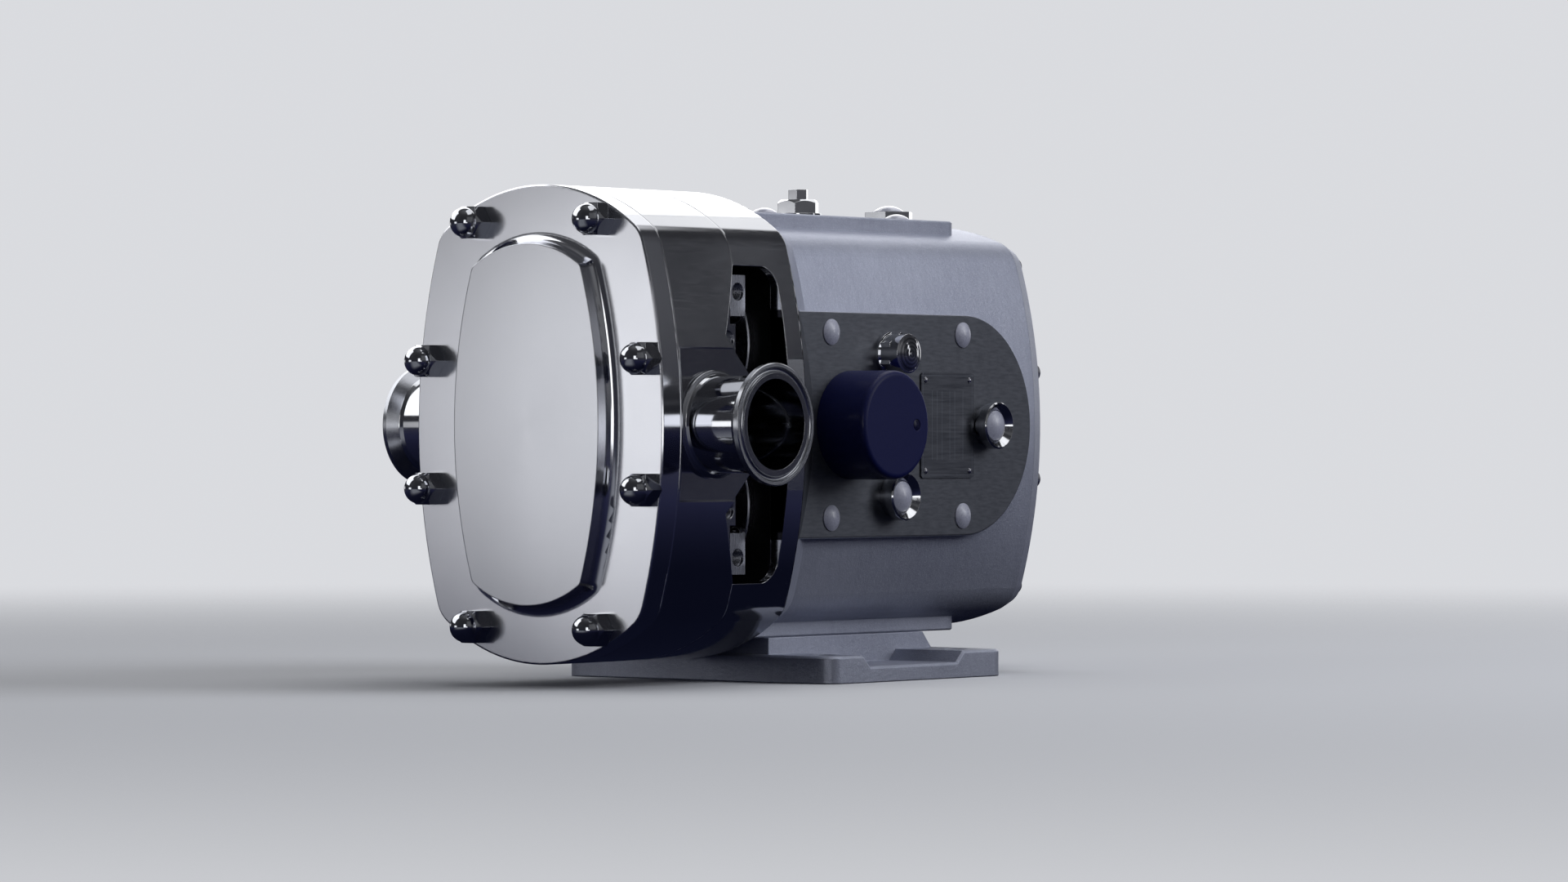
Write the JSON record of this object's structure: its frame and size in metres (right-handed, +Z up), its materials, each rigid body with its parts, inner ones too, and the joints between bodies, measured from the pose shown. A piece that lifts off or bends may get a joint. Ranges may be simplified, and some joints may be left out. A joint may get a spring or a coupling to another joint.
{
  "type": "rotary lobe pump",
  "caption": "Hygienic rotary lobe pump with a bolted front cover, horizontal clamp ports, open seal bay, universal gearcase on a foot and a keyed drive shaft.",
  "frame": {"origin": "centre of the foot's four floor holes, on the foot's underside", "axes": "+Z up, +Y from the front cover towards the drive shaft, +X towards the right-hand port"},
  "size_m": [0.2474, 0.4293, 0.2684],
  "materials": {
    "cover_steel": "satin fine-blasted",
    "polished_steel": "mirror polished",
    "nut_steel": "polished",
    "machined_steel": "fine turned",
    "fastener_steel": "bright",
    "fitting_steel": "polished",
    "bearing_steel": "ground",
    "seal_carbon": "lapped",
    "seal_rubber": "matte",
    "cast_housing": "painted cast texture",
    "cap_plastic": "satin",
    "clear_glass": "clear",
    "plate_metal": "brushed dark",
    "monitor_plastic": "satin",
    "light_lens": "satin lens"
  },
  "bodies": {
    "root": {"front_cover": "cover_steel", "cover_seal": "seal_rubber", "dome_nuts": "nut_steel", "cover_studs": "nut_steel", "rotor_case": "polished_steel", "port_right": "polished_steel", "port_left": "polished_steel", "stationary_seal_rings": "seal_carbon", "seal_housing_upper": "machined_steel", "seal_housing_lower": "machined_steel", "seal_housing_screws": "fastener_steel", "window_ring": "polished_steel", "ring_screws": "fastener_steel", "bearing_retainer": "machined_steel", "retainer_screws": "fastener_steel", "front_lip_seals": "seal_rubber", "front_bearing_outer_rings": "bearing_steel", "rear_bearing_outer_rings": "bearing_steel", "gearcase": "cast_housing", "rear_cover": "cast_housing", "rear_cover_screws": "fastener_steel", "rear_lip_seal": "seal_rubber", "foot": "cast_housing", "foot_screws": "fastener_steel", "pad_caps": "cap_plastic", "sight_glass": "clear_glass", "oil_plugs": "fitting_steel", "plug_inserts": "cap_plastic", "nameplate": "plate_metal", "nameplate_rivets": "fastener_steel", "monitor_housing": "monitor_plastic", "monitor_light": "light_lens", "breather": "fitting_steel", "filler_plug": "fitting_steel"},
    "drive": {"drive_shaft": "machined_steel", "rotor_lower": "machined_steel", "rotor_nut_lower": "machined_steel", "rotary_seal_ring_lower": "seal_carbon", "seal_spring_lower": "bearing_steel", "seal_collar_lower": "machined_steel", "slinger_lower": "seal_rubber", "front_bearing_inner_ring_lower": "bearing_steel", "rear_bearing_inner_ring_lower": "bearing_steel", "drive_gear": "bearing_steel", "drive_gear_key": "fastener_steel", "drive_gear_nut": "bearing_steel", "drive_key": "fastener_steel"},
    "driven": {"driven_shaft": "machined_steel", "rotor_upper": "machined_steel", "rotor_nut_upper": "machined_steel", "rotary_seal_ring_upper": "seal_carbon", "seal_spring_upper": "bearing_steel", "seal_collar_upper": "machined_steel", "slinger_upper": "seal_rubber", "front_bearing_inner_ring_upper": "bearing_steel", "rear_bearing_inner_ring_upper": "bearing_steel", "driven_gear": "bearing_steel", "driven_gear_key": "fastener_steel", "driven_gear_nut": "bearing_steel"}
  },
  "joints": [
    {"name": "drive_shaft_turn", "type": "hinge", "parent": "root", "child": "drive", "pos_m": [0, 0, 0.0948], "axis": [0, 1, 0], "continuous": true},
    {"name": "driven_shaft_turn", "type": "hinge", "parent": "root", "child": "driven", "pos_m": [0, 0, 0.1818], "axis": [0, 1, 0], "continuous": true}
  ],
  "couplings": [
    {"joint": "driven_shaft_turn", "follows": "drive_shaft_turn", "ratio": -1}
  ]
}
